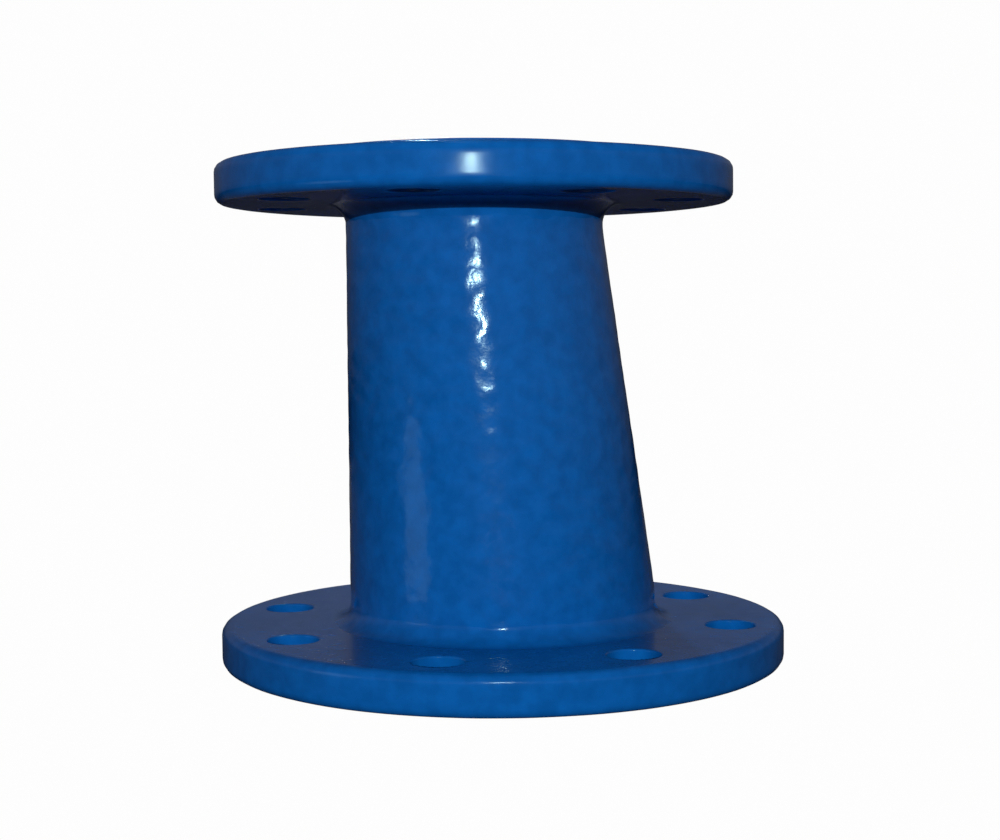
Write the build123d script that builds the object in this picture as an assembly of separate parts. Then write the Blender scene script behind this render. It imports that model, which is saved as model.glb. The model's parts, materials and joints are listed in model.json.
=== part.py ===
from build123d import *
import os

# Flanged eccentric taper for water pipework, DN100 x DN80, PN16 drilling.
# A cast taper barrel carries a flange ring at each end. Each ring is welded on with a fillet bead
# behind it and a seal ring, ground flush, in a groove at the gasket face.
#
# Frame: millimetres. The origin is the centre of the large gasket face. +Z runs along the large
# flange's axis to the small flange. The flat side of the barrel is on -X.

# Driving dimensions
FACE_TO_FACE = 200.0
WALL = 10.0
END_STRAIGHT = 30.0
RIM_THICKNESS = 15.5
RAISED_FACE_HEIGHT = 3.5
RIM_EDGE_RADIUS = 3.5
BOLT_COUNT = 8
BOLT_HOLE_RADIUS = 9.5
FILLET_LEG = 8.0
FILLET_HOLLOW = 1.4
GROOVE_DEPTH = 5.0

LARGE_BORE_RADIUS = 50.0
LARGE_FLANGE_RADIUS = 110.0
LARGE_BOLT_CIRCLE_RADIUS = 90.0
LARGE_RAISED_FACE_RADIUS = 79.0

SMALL_BORE_RADIUS = 40.0
SMALL_FLANGE_RADIUS = 100.0
SMALL_BOLT_CIRCLE_RADIUS = 80.0
SMALL_RAISED_FACE_RADIUS = 69.0

# Worked-out dimensions
# The two bores share one straight line on -X, so the small end moves over by the radius difference.
ECCENTRICITY = LARGE_BORE_RADIUS - SMALL_BORE_RADIUS
LARGE_BARREL_RADIUS = LARGE_BORE_RADIUS + WALL
SMALL_BARREL_RADIUS = SMALL_BORE_RADIUS + WALL
FLANGE_THICKNESS = RIM_THICKNESS + RAISED_FACE_HEIGHT
BOLT_PITCH = 360.0 / BOLT_COUNT

# Each end's own frame: origin at the centre of its gasket face, local +Z into the fitting.
LARGE_END = Plane(origin=(0, 0, 0), x_dir=(1, 0, 0), z_dir=(0, 0, 1))
SMALL_END = Plane(origin=(-ECCENTRICITY, 0, FACE_TO_FACE), x_dir=(1, 0, 0), z_dir=(0, 0, -1))


def ring_from_section(section):
    """Turn a closed half-section, drawn in XZ, all the way round Z."""
    return revolve(section, axis=Axis.Z, revolution_arc=360)


def taper(large_radius, small_radius):
    """Solid taper, square-ended: straight run, oblique cone with its flat side on -X, straight run."""
    small_start = FACE_TO_FACE - END_STRAIGHT
    large_run = Pos(0, 0, END_STRAIGHT / 2) * Cylinder(large_radius, END_STRAIGHT)
    small_run = Pos(-ECCENTRICITY, 0, FACE_TO_FACE - END_STRAIGHT / 2) * Cylinder(
        small_radius, END_STRAIGHT
    )
    cone = loft(
        [
            Pos(0, 0, END_STRAIGHT) * Circle(large_radius),
            Pos(-ECCENTRICITY, 0, small_start) * Circle(small_radius),
        ],
        ruled=True,
    )
    return large_run + cone + small_run


def face_groove(barrel_radius):
    """Triangular ring on the barrel's outer edge at the gasket face, half in barrel, half in flange."""
    with BuildSketch(Plane.XZ) as section:
        with BuildLine():
            Polyline(
                (barrel_radius - GROOVE_DEPTH, 0),
                (barrel_radius + GROOVE_DEPTH, 0),
                (barrel_radius, GROOVE_DEPTH),
                close=True,
            )
        make_face()
    return ring_from_section(section.sketch)


def back_fillet(barrel_radius):
    """Hollow-faced fillet ring in the corner between the barrel and the back of the flange."""
    corner = (barrel_radius, FLANGE_THICKNESS)
    flange_toe = (barrel_radius + FILLET_LEG, FLANGE_THICKNESS)
    barrel_toe = (barrel_radius, FLANGE_THICKNESS + FILLET_LEG)
    inset = FILLET_LEG / 2 - FILLET_HOLLOW
    throat = (barrel_radius + inset, FLANGE_THICKNESS + inset)
    with BuildSketch(Plane.XZ) as section:
        with BuildLine():
            Line(corner, flange_toe)
            ThreePointArc(flange_toe, throat, barrel_toe)
            Line(barrel_toe, corner)
        make_face()
    return ring_from_section(section.sketch)


def bolt_holes(circle_radius):
    """The bolt holes' material, spread so that the holes straddle both centre lines."""
    hole = Cylinder(BOLT_HOLE_RADIUS, 2 * FLANGE_THICKNESS)
    places = PolarLocations(circle_radius, BOLT_COUNT, start_angle=BOLT_PITCH / 2)
    return [place * hole for place in places]


def flange(rim_radius, raised_face_radius, bolt_circle_radius, barrel_radius):
    """Flange ring in its end's frame: raised face on Z = 0, round-edged rim behind it."""
    rim = Pos(0, 0, RAISED_FACE_HEIGHT + RIM_THICKNESS / 2) * Cylinder(rim_radius, RIM_THICKNESS)
    rim = fillet(rim.edges().filter_by(GeomType.CIRCLE), RIM_EDGE_RADIUS)
    raised_face = Pos(0, 0, RAISED_FACE_HEIGHT) * Cylinder(raised_face_radius, 2 * RAISED_FACE_HEIGHT)
    seat = Cylinder(barrel_radius, 4 * FLANGE_THICKNESS)
    ring = rim + raised_face - seat - bolt_holes(bolt_circle_radius)
    return ring - face_groove(barrel_radius)


def barrel():
    """Barrel with the waterway through it and its outer end edges bevelled for the seal rings."""
    shell = taper(LARGE_BARREL_RADIUS, SMALL_BARREL_RADIUS) - taper(LARGE_BORE_RADIUS, SMALL_BORE_RADIUS)
    large_bevel = LARGE_END * face_groove(LARGE_BARREL_RADIUS)
    small_bevel = SMALL_END * face_groove(SMALL_BARREL_RADIUS)
    return shell - large_bevel - small_bevel


def end_parts(end, rim_radius, raised_face_radius, bolt_circle_radius, barrel_radius):
    """The flange, back fillet and seal ring of one end, in the fitting's frame."""
    return {
        "flange": end * flange(rim_radius, raised_face_radius, bolt_circle_radius, barrel_radius),
        "back_weld": end * back_fillet(barrel_radius),
        "face_weld": end * face_groove(barrel_radius),
    }


def all_parts():
    """Every node by name."""
    ends = {
        "large": end_parts(
            LARGE_END,
            LARGE_FLANGE_RADIUS,
            LARGE_RAISED_FACE_RADIUS,
            LARGE_BOLT_CIRCLE_RADIUS,
            LARGE_BARREL_RADIUS,
        ),
        "small": end_parts(
            SMALL_END,
            SMALL_FLANGE_RADIUS,
            SMALL_RAISED_FACE_RADIUS,
            SMALL_BOLT_CIRCLE_RADIUS,
            SMALL_BARREL_RADIUS,
        ),
    }
    parts = {"eccentric_barrel": barrel()}
    for size, pieces in ends.items():
        for piece, shape in pieces.items():
            parts[f"{size}_{piece}"] = shape
    return parts


os.makedirs("parts", exist_ok=True)
for name, shape in all_parts().items():
    export_step(shape, f"parts/{name}.step")
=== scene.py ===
import json
import math
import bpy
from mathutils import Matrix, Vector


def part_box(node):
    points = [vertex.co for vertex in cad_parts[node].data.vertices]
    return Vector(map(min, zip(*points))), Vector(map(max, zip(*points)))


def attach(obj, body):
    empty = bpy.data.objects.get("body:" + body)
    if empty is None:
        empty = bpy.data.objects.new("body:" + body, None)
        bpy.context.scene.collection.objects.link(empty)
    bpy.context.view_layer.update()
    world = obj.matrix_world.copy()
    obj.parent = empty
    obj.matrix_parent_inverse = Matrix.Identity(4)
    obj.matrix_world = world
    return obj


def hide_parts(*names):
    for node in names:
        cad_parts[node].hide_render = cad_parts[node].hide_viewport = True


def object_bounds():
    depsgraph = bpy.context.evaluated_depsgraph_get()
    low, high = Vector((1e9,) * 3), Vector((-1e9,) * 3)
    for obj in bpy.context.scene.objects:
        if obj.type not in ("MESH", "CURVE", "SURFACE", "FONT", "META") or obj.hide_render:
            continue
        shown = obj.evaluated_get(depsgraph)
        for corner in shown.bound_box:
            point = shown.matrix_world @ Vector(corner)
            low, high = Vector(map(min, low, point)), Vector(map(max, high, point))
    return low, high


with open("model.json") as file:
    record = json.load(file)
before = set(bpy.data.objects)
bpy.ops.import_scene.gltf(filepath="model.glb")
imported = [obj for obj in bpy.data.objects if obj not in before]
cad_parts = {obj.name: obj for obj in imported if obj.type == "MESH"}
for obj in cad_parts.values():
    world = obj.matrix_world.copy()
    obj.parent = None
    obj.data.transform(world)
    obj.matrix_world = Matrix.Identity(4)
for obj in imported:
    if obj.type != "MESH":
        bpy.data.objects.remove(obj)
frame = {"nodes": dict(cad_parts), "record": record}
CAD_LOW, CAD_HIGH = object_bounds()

from types import SimpleNamespace

import bmesh
import bpy
import numpy as np
from mathutils import Matrix, Vector, noise

# Everything is in metres in the CAD frame: origin at the centre of the large gasket face,
# +Z towards the small flange, the barrel's flat side on -X. MM turns millimetres into metres.
MM = 0.001

# Edges and seams that the coat rounds off
RIM_EDGE = 3.5 * MM
HOLE_EDGE = 0.7 * MM
RAISED_EDGE = 0.8 * MM
RAISED_FOOT = 0.35 * MM
BORE_EDGE = 1.2 * MM
SEAM = 0.18 * MM
KINK_HALF_WIDTH = 4 * MM

# Where the cast texture is taken from its noise, so that the lamp glints where it does in the photo
CAST_SHIFT = Vector((0, 0, 2.163))

# How deep the fillets reach into their neighbours, by how much the radius of their hollow face is
# larger than their leg, and the face's arc in degrees
FILLET_SINK = 0.25 * MM
FILLET_EASE = 0.10 * MM
FILLET_ARC = (178, 272)

# Unevenness of the surfaces: height, wavelength and octaves of the noise
CAST_LUMPS = (0.07 * MM, 15 * MM, 2)
CAST_PEEL = (0.13 * MM, 5.5 * MM, 1)
FLANGE_WAVES = (0.09 * MM, 24 * MM, 2)
WELD_RIPPLES = (0.10 * MM, 9 * MM, 2)
NOISE_FALLOFF = 0.5
NOISE_LACUNARITY = 2.0

# Length over which the cast texture fades out at the backs of the flanges
CAST_FADE = 4 * MM

# Mesh divisions, the depth of the barrel's separately meshed ends, and the longest steps
SECTOR_STEPS = 48
SIDE_STEPS = 22
HOLE_RINGS = 12
ARC_STEPS = 4
FILLET_STEPS = 12
BARREL_COLUMNS = 320
WELD_COLUMNS = 384
OUTER_RINGS = 156
INNER_RINGS = 78
END_DEPTH = 4 * MM
END_SPACING = 1.6 * MM
HOLE_SPACING = 2.2 * MM
FLANGE_SPACING = 1.3 * MM
RIM_SPACING = 1.5 * MM
FILLET_SPACING = 0.9 * MM
SEAL_SPACING = 1.2 * MM

# The coat. Scales are those of noise textures, with values mostly from NOISE_LOW to NOISE_HIGH.
COAT_DARK = (0.0013, 0.084, 0.325, 1)
COAT_LIGHT = (0.0024, 0.106, 0.400, 1)
COAT_IOR = 1.52
MOTTLE_SCALE = 170
MOTTLE_SPAN = (0.32, 0.68)
GLOSS_SCALE = 140
GRAIN_SCALE = 1900
GRAIN_HEIGHT = 0.0015 * MM
NOISE_LOW, NOISE_HIGH = 0.3, 0.7

# The stage. The surroundings that the object mirrors go from the horizon to straight overhead.
SEEN_WHITE = (0.985, 0.985, 0.985, 1)
MIRRORED_HORIZON = (0.035, 0.037, 0.042, 1)
MIRRORED_GLOW = (0.12, 0.12, 0.13, 1)
MIRRORED_OVERHEAD = (0.035, 0.035, 0.04, 1)
GLOW_HEIGHT = 0.18
OVERHEAD_HEIGHT = 0.5
FLOOR_BOUNCE = (0.05, 0.05, 0.055, 1)
FLOOR_HALF = 3.0
FLOOR_GAP = 0.05 * MM
FLASH_COLOUR = (0.62, 0.97, 1.0)
SOFT_COLOUR = (0.4, 0.75, 1.0)
LIGHT_AIM = Vector((0, 0, 0.1))

# The camera stands VIEW_TURN round from -Y towards -X. Angles in radians.
VIEW_TURN = 0.14
CAMERA_PLACE = (-0.0934, -0.6590, 0.1385)
CAMERA_PITCH = 0.0625
CAMERA_ROLL = -0.0078
CAMERA_LENS = 60.98

BODY = "root"
SHARP_ANGLE = math.radians(38)

# Mesh points this close become one, and CAD points this close to a plane lie on it
WELD_DISTANCE = 1e-6
ON_PLANE = 0.01 * MM


# ---- Sizes read from the frame ----

def mount(name):
    """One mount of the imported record."""
    return next(m for m in frame["record"]["mounts"] if m["name"] == name)


def radius_on_plane(node, axis_x, z):
    """How far a CAD node reaches from an axis parallel to Z, on the plane at height z."""
    points = np.array([v.co for v in frame["nodes"][node].data.vertices])
    flat = points[np.abs(points[:, 2] - z) < ON_PLANE]
    return float(np.hypot(flat[:, 0] - axis_x, flat[:, 1]).max())


def read_end(size):
    """The sizes of one end. Depth is counted from its gasket face into the fitting."""
    port, bolts = mount(size + "_port"), mount(size + "_flange_bolts")
    axis_x, _, face_z = port["pos_m"]
    flange_low, flange_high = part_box(size + "_flange")
    back_low, back_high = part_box(size + "_back_weld")
    seal_low, seal_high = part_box(size + "_face_weld")
    groove = seal_high.z - seal_low.z
    return SimpleNamespace(
        size=size,
        axis_x=axis_x,
        face_z=face_z,
        inward=-port["axis"][2],
        bore=port["dims"]["r_mm"] * MM,
        straight=port["dims"]["length_mm"] * MM,
        bolt_circle=bolts["dims"]["pcd_mm"] * MM / 2,
        hole=bolts["dims"]["hole_r_mm"] * MM,
        bolts=bolts["dims"]["count"],
        step=abs(bolts["pos_m"][2] - face_z),
        thickness=flange_high.z - flange_low.z,
        rim=(flange_high.x - flange_low.x) / 2,
        raised=radius_on_plane(size + "_flange", axis_x, face_z),
        fillet=back_high.z - back_low.z,
        groove=groove,
        barrel=(seal_high.x - seal_low.x) / 2 - groove,
    )


LARGE, SMALL = read_end("large"), read_end("small")


# ---- Mesh tools ----

class Skin:
    """Gathers patches of points as quads and welds them into one mesh."""

    def __init__(self):
        self.points = []
        self.quads = []
        self.count = 0

    def patch(self, grid):
        """Adds a rows x columns grid of points, with a quad between each four neighbours."""
        rows, columns = grid.shape[:2]
        index = self.count + np.arange(rows * columns).reshape(rows, columns)
        corners = [index[:-1, :-1], index[:-1, 1:], index[1:, 1:], index[1:, :-1]]
        self.quads.append(np.stack(corners, -1).reshape(-1, 4))
        self.points.append(grid.reshape(-1, 3))
        self.count += rows * columns

    def build(self, name):
        """The welded, closed mesh as an object in the scene."""
        mesh = bpy.data.meshes.new(name)
        mesh.from_pydata(np.concatenate(self.points), [], np.concatenate(self.quads))
        work = bmesh.new()
        work.from_mesh(mesh)
        bmesh.ops.remove_doubles(work, verts=work.verts, dist=WELD_DISTANCE)
        bmesh.ops.recalc_face_normals(work, faces=work.faces)
        work.to_mesh(mesh)
        work.free()
        piece = bpy.data.objects.new(name, mesh)
        bpy.context.scene.collection.objects.link(piece)
        return piece


def arc(centre, radius, start, end, steps=ARC_STEPS):
    """Points of an arc in the half-section, angles in degrees."""
    angles = np.radians(np.linspace(start, end, steps + 1))
    return [(centre[0] + radius * math.cos(a), centre[1] + radius * math.sin(a)) for a in angles]


def rounded(corners, spacing):
    """Half-section line through (radius, depth, rounding) corners, rounded and divided."""
    line = [np.array(corners[0][:2], float)]
    for before, corner, after in zip(corners, corners[1:], corners[2:]):
        at, into = np.array(corner[:2]), np.array(corner[:2]) - np.array(before[:2])
        out = np.array(after[:2]) - at
        into, out = into / np.linalg.norm(into), out / np.linalg.norm(out)
        rounding = corner[2]
        if not rounding:
            line.append(at)
            continue
        half = math.acos(max(-1.0, min(1.0, float(into @ out)))) / 2
        reach = rounding * math.tan(half)
        first, last = at - into * reach, at + out * reach
        middle = at + (out - into) / np.linalg.norm(out - into) * rounding / math.cos(half)
        for share in np.linspace(0, 1, ARC_STEPS + 1):
            spoke = (first - middle) * (1 - share) + (last - middle) * share
            line.append(middle + spoke / np.linalg.norm(spoke) * rounding)
    line.append(np.array(corners[-1][:2], float))
    return divide(line, spacing)


def divide(line, spacing):
    """The line with its long runs divided so that no step is longer than spacing."""
    points = [line[0]]
    for start, end in zip(line, line[1:]):
        steps = max(1, math.ceil(float(np.linalg.norm(end - start)) / spacing))
        points += [start + (end - start) * k / steps for k in range(1, steps + 1)]
    return np.array(points)


def place(end, across, along, depth):
    """Points in the CAD frame from an end's own x, y and depth."""
    return np.stack([end.axis_x + across, along, end.face_z + end.inward * depth], -1)


def turn(end, section, columns):
    """A half-section turned all the way round an end's axis, as a grid."""
    angles = np.linspace(0, 2 * math.pi, columns + 1)
    radius, depth = section[:, :1], section[:, 1:]
    angles[-1] = 0
    return place(end, radius * np.cos(angles), radius * np.sin(angles), depth + 0 * angles)


def closed(section):
    """The half-section with its first point repeated at its end."""
    return np.vstack([section, section[:1]])


def fractal(point, wavelength, octaves):
    """Smooth noise from about -1 to 1. Each octave halves the wavelength."""
    return noise.fractal(Vector(point) / wavelength, NOISE_FALLOFF, NOISE_LACUNARITY, octaves)


def roughen(piece, height):
    """Moves each vertex along its normal by height(point)."""
    mesh = piece.data
    points = np.array([v.co for v in mesh.vertices])
    normals = np.array([n.vector for n in mesh.vertex_normals])
    moves = np.array([height(p) for p in points])
    mesh.vertices.foreach_set("co", (points + normals * moves[:, None]).ravel())
    mesh.update()


def finish_piece(piece, slot, material, *nodes):
    """Smooth shading with sharp corners kept, the material, the body and the CAD nodes replaced."""
    mesh = piece.data
    mesh.shade_smooth()
    mesh.set_sharp_from_angle(angle=SHARP_ANGLE)
    mesh.materials.append(material)
    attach(piece, BODY)
    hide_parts(*nodes)


# ---- Pieces ----

def smooth_ramp(z, start):
    """0 before start, z - start after it. The corner is rounded over KINK_HALF_WIDTH each side."""
    past = z - start
    bend = np.clip(past + KINK_HALF_WIDTH, 0, None) ** 2 / (4 * KINK_HALF_WIDTH)
    return np.where(past > KINK_HALF_WIDTH, past, bend)


def taper_share(z):
    """0 on the large end's straight run, 1 on the small end's, and even between."""
    start, end = LARGE.straight, SMALL.face_z - SMALL.straight
    return (smooth_ramp(z, start) - smooth_ramp(z, end)) / (end - start)


def taper_rings(heights, large_radius, small_radius):
    """Rings of the tapering wall at these heights, as rows of a grid."""
    z = np.array(heights)[:, None]
    share = taper_share(z)
    centre = LARGE.axis_x + share * (SMALL.axis_x - LARGE.axis_x)
    radius = large_radius + share * (small_radius - large_radius)
    angles = np.linspace(0, 2 * math.pi, BARREL_COLUMNS + 1)
    angles[-1] = 0
    x, y = centre + radius * np.cos(angles), radius * np.sin(angles)
    return np.stack([x, y, z + 0 * angles], -1)


def barrel_end(end):
    """The barrel's end: inside edge, end face and bevel, from the bore to the outer wall."""
    corners = [
        (end.bore, END_DEPTH, 0),
        (end.bore, 0, BORE_EDGE),
        (end.barrel - end.groove, 0, SEAM),
        (end.barrel, end.groove, 0),
        (end.barrel, end.thickness, 0),
    ]
    return turn(end, rounded(corners, END_SPACING), BARREL_COLUMNS)


def cast_height(point):
    """The as-cast barrel's lumps and orange peel."""
    spot = Vector(point) + CAST_SHIFT
    return sum(height * fractal(spot, *waves) for height, *waves in (CAST_LUMPS, CAST_PEEL))


def barrel_height(point):
    """Cast texture on the open wall, fading out inside the flanges and at the end faces."""
    inside = min(point[2], SMALL.face_z - point[2])
    fade = min(1.0, max(0.0, (inside - LARGE.thickness) / CAST_FADE + 0.5))
    return fade * cast_height(point)


def make_barrel(material):
    skin = Skin()
    large_back, small_back = LARGE.thickness, SMALL.face_z - SMALL.thickness
    outer = np.linspace(large_back, small_back, OUTER_RINGS)
    inner = np.linspace(END_DEPTH, SMALL.face_z - END_DEPTH, INNER_RINGS)
    skin.patch(taper_rings(outer, LARGE.barrel, SMALL.barrel))
    skin.patch(taper_rings(inner, LARGE.bore, SMALL.bore))
    skin.patch(barrel_end(LARGE))
    skin.patch(barrel_end(SMALL))
    piece = skin.build("eccentric_barrel_coated")
    roughen(piece, barrel_height)
    finish_piece(piece, "barrel_coat", material, "eccentric_barrel")


def hole_zone(end):
    """(inner, outer) radius of the flat ring that holds the bolt holes."""
    inner = (end.raised + RAISED_FOOT + end.bolt_circle - end.hole - HOLE_EDGE) / 2
    outer = (end.rim - RIM_EDGE + end.bolt_circle + end.hole + HOLE_EDGE) / 2
    return inner, outer


def sector_loop(end, start):
    """Closed loop of (x, y) points round one hole's sector of the flat ring."""
    inner, outer = hole_zone(end)
    sweep = 2 * math.pi / end.bolts
    turned = sweep * np.arange(SECTOR_STEPS) / SECTOR_STEPS
    moved = (outer - inner) * np.arange(SIDE_STEPS) / SIDE_STEPS
    radius = np.concatenate([0 * turned + inner, inner + moved, 0 * turned + outer, outer - moved])
    stop = start + sweep
    angle = np.concatenate([start + turned, 0 * moved + stop, stop - turned, 0 * moved + start])
    loop = np.stack([radius * np.cos(angle), radius * np.sin(angle)], -1)
    return np.vstack([loop, loop[:1]])


def hole_wall(end):
    """(radius from the hole's axis, depth) rows of a hole with both its edges rounded."""
    front, back = end.step, end.thickness
    wide = end.hole + HOLE_EDGE
    corners = [
        (wide, front, 0),
        (end.hole, front, HOLE_EDGE),
        (end.hole, back, HOLE_EDGE),
        (wide, back, 0),
    ]
    return rounded(corners, HOLE_SPACING)


def hole_sector(end, start):
    """Front face, hole wall and back face of one sector, as a grid from front edge to back edge."""
    loop = sector_loop(end, start)
    middle = start + math.pi / end.bolts
    centre = end.bolt_circle * np.array([math.cos(middle), math.sin(middle)])
    spokes = loop - centre
    spokes /= np.linalg.norm(spokes, axis=1)[:, None]
    mouth = centre + spokes * (end.hole + HOLE_EDGE)
    rows = []
    for share in np.linspace(1, 0, HOLE_RINGS + 1)[:-1]:
        flat = mouth + (loop - mouth) * share
        rows.append(place(end, flat[:, 0], flat[:, 1], end.step + 0 * flat[:, 0]))
    for radius, depth in hole_wall(end):
        flat = centre + spokes * radius
        rows.append(place(end, flat[:, 0], flat[:, 1], depth + 0 * flat[:, 0]))
    for share in np.linspace(0, 1, HOLE_RINGS + 1)[1:]:
        flat = mouth + (loop - mouth) * share
        rows.append(place(end, flat[:, 0], flat[:, 1], end.thickness + 0 * flat[:, 0]))
    return np.array(rows)


def flange_inside(end):
    """Half-section from the hole zone over raised face, groove and seat back to the hole zone."""
    inner, _ = hole_zone(end)
    corners = [
        (inner, end.step, 0),
        (end.raised, end.step, RAISED_FOOT),
        (end.raised, 0, RAISED_EDGE),
        (end.barrel + end.groove, 0, SEAM),
        (end.barrel, end.groove, 0),
        (end.barrel, end.thickness, 0),
        (inner, end.thickness, 0),
    ]
    return rounded(corners, FLANGE_SPACING)


def flange_rim(end):
    """Half-section from the hole zone's front edge round the rim to its back edge."""
    _, outer = hole_zone(end)
    corners = [
        (outer, end.step, 0),
        (end.rim, end.step, RIM_EDGE),
        (end.rim, end.thickness, RIM_EDGE),
        (outer, end.thickness, 0),
    ]
    return rounded(corners, RIM_SPACING)


def flange_height(point):
    """Long, shallow waves. Always inwards, so that the flange stays inside its CAD size."""
    height, *waves = FLANGE_WAVES
    return -height * (0.5 + 0.5 * max(-1.0, min(1.0, fractal(point, *waves))))


def weld_height(point):
    """Ripples of the bead under its coat."""
    height, *waves = WELD_RIPPLES
    return height * fractal(point, *waves)


def make_flange(end, material):
    skin = Skin()
    columns = SECTOR_STEPS * end.bolts
    skin.patch(turn(end, flange_inside(end), columns))
    skin.patch(turn(end, flange_rim(end), columns))
    for k in range(end.bolts):
        skin.patch(hole_sector(end, 2 * math.pi * k / end.bolts))
    piece = skin.build(end.size + "_flange_coated")
    roughen(piece, flange_height)
    finish_piece(piece, "flange_coat", material, end.size + "_flange")


def make_back_weld(end, material):
    """Hollow fillet in the corner behind the flange. Its toes run just under the neighbours."""
    corner = (end.barrel, end.thickness)
    centre = (corner[0] + end.fillet, corner[1] + end.fillet)
    face = arc(centre, end.fillet + FILLET_EASE, *FILLET_ARC, FILLET_STEPS)
    under = [
        (centre[0], corner[1] - FILLET_SINK),
        (corner[0] - FILLET_SINK, corner[1] - FILLET_SINK),
        (corner[0] - FILLET_SINK, centre[1]),
    ]
    section = divide([np.array(p) for p in face + under], FILLET_SPACING)
    skin = Skin()
    skin.patch(turn(end, closed(section), WELD_COLUMNS))
    piece = skin.build(end.size + "_back_weld_coated")
    roughen(piece, weld_height)
    finish_piece(piece, "weld_coat", material, end.size + "_back_weld")


def make_face_weld(end, material):
    """Seal ring in the groove at the gasket face, ground flush."""
    corners = [
        (end.barrel, 0, 0),
        (end.barrel + end.groove, 0, SEAM),
        (end.barrel, end.groove, 0),
        (end.barrel - end.groove, 0, SEAM),
        (end.barrel, 0, 0),
    ]
    skin = Skin()
    skin.patch(turn(end, rounded(corners, SEAL_SPACING), WELD_COLUMNS))
    piece = skin.build(end.size + "_face_weld_coated")
    finish_piece(piece, "weld_coat", material, end.size + "_face_weld")


# ---- Materials ----

def new_material(name):
    material = bpy.data.materials.new(name)
    material.use_nodes = True
    return material, material.node_tree.nodes, material.node_tree.links


def noise_node(nodes, links, vector, scale, detail):
    node = nodes.new("ShaderNodeTexNoise")
    node.inputs["Scale"].default_value = scale
    node.inputs["Detail"].default_value = detail
    links.new(vector, node.inputs["Vector"])
    return node.outputs["Fac"]


def remap(nodes, links, value, low, high):
    """A noise texture's span, mapped to low to high."""
    node = nodes.new("ShaderNodeMapRange")
    node.inputs["From Min"].default_value = NOISE_LOW
    node.inputs["From Max"].default_value = NOISE_HIGH
    node.inputs["To Min"].default_value = low
    node.inputs["To Max"].default_value = high
    links.new(value, node.inputs["Value"])
    return node.outputs["Result"]


def bump(nodes, links, height, distance, below=None):
    node = nodes.new("ShaderNodeBump")
    node.inputs["Distance"].default_value = distance
    node.inputs["Strength"].default_value = 1.0
    links.new(height, node.inputs["Height"])
    if below is not None:
        links.new(below, node.inputs["Normal"])
    return node.outputs["Normal"]


def epoxy(name, peel_height, peel_scale, roughness):
    """Glossy blue epoxy: mottled colour, uneven gloss, orange peel and a fine grain."""
    material, nodes, links = new_material(name)
    shader = nodes["Principled BSDF"]
    vector = nodes.new("ShaderNodeTexCoord").outputs["Object"]
    mottle = noise_node(nodes, links, vector, MOTTLE_SCALE, 2)
    ramp = nodes.new("ShaderNodeValToRGB")
    dark, light = ramp.color_ramp.elements
    dark.position, light.position = MOTTLE_SPAN
    dark.color, light.color = COAT_DARK, COAT_LIGHT
    links.new(mottle, ramp.inputs["Fac"])
    links.new(ramp.outputs["Color"], shader.inputs["Base Color"])
    gloss = noise_node(nodes, links, vector, GLOSS_SCALE, 3)
    links.new(remap(nodes, links, gloss, *roughness), shader.inputs["Roughness"])
    peel = noise_node(nodes, links, vector, peel_scale, 2)
    grain = noise_node(nodes, links, vector, GRAIN_SCALE, 1)
    peeled = bump(nodes, links, peel, peel_height)
    links.new(bump(nodes, links, grain, GRAIN_HEIGHT, peeled), shader.inputs["Normal"])
    shader.inputs["IOR"].default_value = COAT_IOR
    return material


# ---- Stage, light and camera ----

def split_by_ray(nodes, links, for_light, for_camera, output):
    """Surface that the camera sees as one shader, and light and reflections as another."""
    path = nodes.new("ShaderNodeLightPath")
    mix = nodes.new("ShaderNodeMixShader")
    links.new(path.outputs["Is Camera Ray"], mix.inputs["Fac"])
    links.new(for_light, mix.inputs[1])
    links.new(for_camera, mix.inputs[2])
    links.new(mix.outputs["Shader"], output.inputs["Surface"])


def make_floor():
    mesh = bpy.data.meshes.new("studio_floor")
    half = FLOOR_HALF
    corners = [(-half, -half, 0), (half, -half, 0), (half, half, 0), (-half, half, 0)]
    mesh.from_pydata(corners, [], [(0, 1, 2, 3)])
    floor = bpy.data.objects.new("studio_floor", mesh)
    floor.location.z = CAD_LOW.z - FLOOR_GAP
    bpy.context.scene.collection.objects.link(floor)
    material, nodes, links = new_material("studio_floor_paint")
    nodes.remove(nodes["Principled BSDF"])
    seen = nodes.new("ShaderNodeEmission")
    seen.inputs["Color"].default_value = SEEN_WHITE
    bounce = nodes.new("ShaderNodeBsdfDiffuse")
    bounce.inputs["Color"].default_value = FLOOR_BOUNCE
    output = nodes["Material Output"]
    split_by_ray(nodes, links, bounce.outputs["BSDF"], seen.outputs["Emission"], output)
    mesh.materials.append(material)


def make_world():
    """White to the camera. What the object mirrors is dim, and palest just above the horizon."""
    world = bpy.data.worlds.new("studio")
    bpy.context.scene.world = world
    world.use_nodes = True
    nodes, links = world.node_tree.nodes, world.node_tree.links
    direction = nodes.new("ShaderNodeSeparateXYZ")
    links.new(nodes.new("ShaderNodeTexCoord").outputs["Generated"], direction.inputs["Vector"])
    ramp = nodes.new("ShaderNodeValToRGB")
    horizon, glow = ramp.color_ramp.elements
    horizon.color = MIRRORED_HORIZON
    glow.position = GLOW_HEIGHT
    glow.color = MIRRORED_GLOW
    ramp.color_ramp.elements.new(OVERHEAD_HEIGHT).color = MIRRORED_OVERHEAD
    links.new(direction.outputs["Z"], ramp.inputs["Fac"])
    dim = nodes["Background"]
    links.new(ramp.outputs["Color"], dim.inputs["Color"])
    seen = nodes.new("ShaderNodeBackground")
    seen.inputs["Color"].default_value = SEEN_WHITE
    output = nodes["World Output"]
    split_by_ray(nodes, links, dim.outputs["Background"], seen.outputs["Background"], output)


def from_camera(degrees, distance, height):
    """A point this far from the Z axis and this high, turned round from the camera's side."""
    angle = VIEW_TURN + math.radians(degrees)
    return Vector((-distance * math.sin(angle), -distance * math.cos(angle), height))


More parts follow.
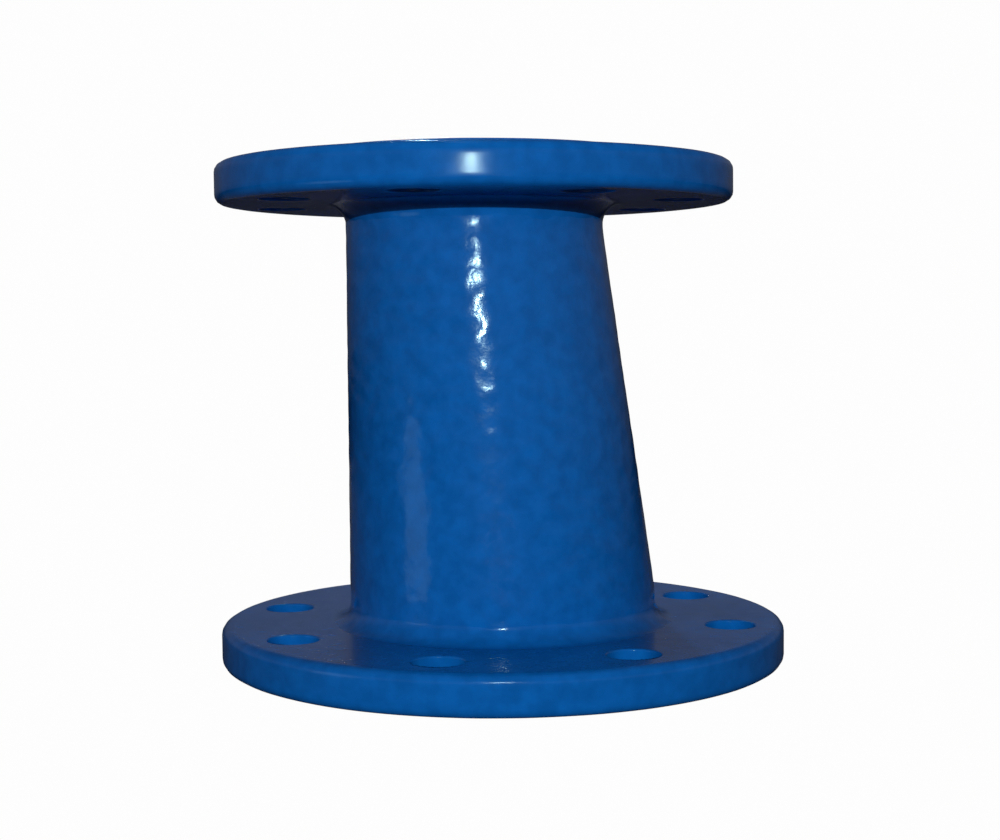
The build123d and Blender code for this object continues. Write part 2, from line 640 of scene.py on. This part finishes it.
def bare_light(name, place_at, power):
    """Small bare lamp that lights the coat but isn't mirrored in it."""
    data = bpy.data.lights.new(name, "POINT")
    data.shadow_soft_size = 0
    data.energy = power
    light = bpy.data.objects.new(name, data)
    light.location = place_at
    light.visible_glossy = False
    light.visible_camera = False
    bpy.context.scene.collection.objects.link(light)


def area_light(name, place_at, size, power, colour=(1, 1, 1), gloss=True):
    """Round soft light that faces the object. Without gloss it lights but isn't mirrored."""
    data = bpy.data.lights.new(name, "AREA")
    data.shape = "DISK"
    data.size = size
    data.energy = power
    data.color = colour
    light = bpy.data.objects.new(name, data)
    light.location = place_at
    light.rotation_euler = (LIGHT_AIM - place_at).to_track_quat("-Z", "Y").to_euler()
    light.visible_glossy = gloss
    light.visible_camera = False
    bpy.context.scene.collection.objects.link(light)


def make_lights():
    above = Vector((SMALL.axis_x, 0, 1.0))
    left = from_camera(59, 0.35, 0.040)
    behind = from_camera(172, 0.66, 0.65)
    area_light("flash", from_camera(1, 0.66, 0.222), size=0.018, power=0.38, colour=FLASH_COLOUR)
    bare_light("front_key", from_camera(0, 1.60, 0.320), power=74)
    area_light("top_soft", above, size=0.20, power=2, gloss=False)
    area_light("left_soft", left, size=0.12, power=0.026, colour=SOFT_COLOUR)
    area_light("back_flash", behind, size=0.03, power=0.6, colour=FLASH_COLOUR)
    area_light("back_soft", from_camera(176, 0.9, 0.25), size=0.30, power=5, gloss=False)


def make_camera():
    data = bpy.data.cameras.new("camera")
    data.lens = CAMERA_LENS
    data.sensor_width = 36
    data.clip_start = 0.01
    data.clip_end = 50
    camera = bpy.data.objects.new("camera", data)
    level = math.cos(CAMERA_PITCH)
    right = Vector((math.cos(VIEW_TURN), -math.sin(VIEW_TURN), 0))
    forward = Vector((-right.y * level, right.x * level, -math.sin(CAMERA_PITCH)))
    up = right.cross(forward)
    cos_roll, sin_roll = math.cos(CAMERA_ROLL), math.sin(CAMERA_ROLL)
    rolled_right = right * cos_roll + up * sin_roll
    rolled_up = up * cos_roll - right * sin_roll
    rotation = Matrix((rolled_right, rolled_up, -forward)).transposed()
    camera.matrix_world = Matrix.Translation(CAMERA_PLACE) @ rotation.to_4x4()
    bpy.context.scene.collection.objects.link(camera)
    bpy.context.scene.camera = camera


# ---- The scene ----

barrel_coat = epoxy("blue_epoxy_on_casting", 0.09 * MM, 260, roughness=(0.12, 0.17))
flange_coat = epoxy("blue_epoxy_on_flange", 0.012 * MM, 260, roughness=(0.16, 0.22))
weld_coat = epoxy("blue_epoxy_on_weld", 0.03 * MM, 300, roughness=(0.12, 0.17))

make_barrel(barrel_coat)
for end in (LARGE, SMALL):
    make_flange(end, flange_coat)
    make_back_weld(end, weld_coat)
    make_face_weld(end, weld_coat)

make_floor()
make_world()
make_lights()
make_camera()
bpy.context.scene.view_settings.view_transform = "Standard"
